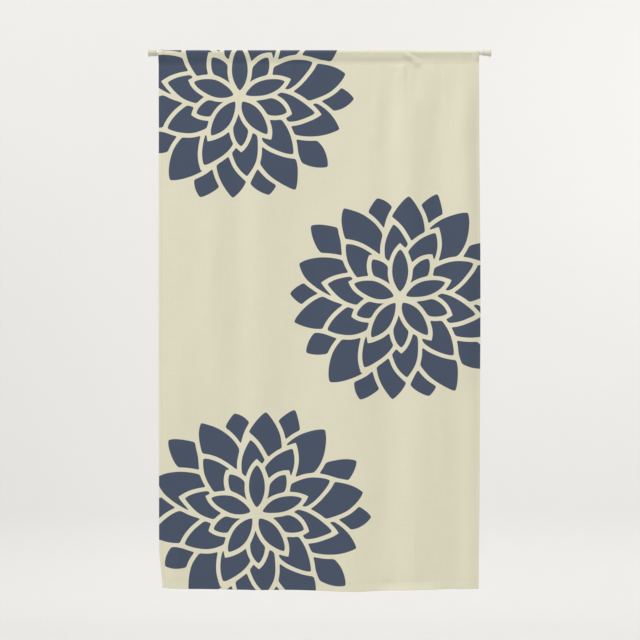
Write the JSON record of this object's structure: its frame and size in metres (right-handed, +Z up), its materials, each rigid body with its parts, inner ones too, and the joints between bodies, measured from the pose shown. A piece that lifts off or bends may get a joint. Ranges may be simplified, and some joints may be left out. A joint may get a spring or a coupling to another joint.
{
  "type": "noren curtain on tension rod",
  "caption": "Single-panel cotton noren, navy blooms printed on cream, hanging by its sewn sleeve from a white spring tension rod with rubber feet.",
  "frame": {"origin": "centre of the left rubber foot's flat face, where the rod presses on the left post", "axes": "+X along the rod from the left foot to the right foot, +Y from the printed front to the back, +Z up"},
  "size_m": [0.907, 0.0202, 1.435],
  "materials": {
    "printed_cotton": "matte plain-weave cotton, cream with a navy print",
    "white_enamel": "glossy off-white enamel on thin steel tube",
    "foot_rubber": "matte pale rubber"
  },
  "bodies": {
    "root": {"cloth": "printed_cotton", "outer_tube": "white_enamel", "inner_tube": "white_enamel", "left_foot": "foot_rubber", "right_foot": "foot_rubber"}
  },
  "joints": []
}
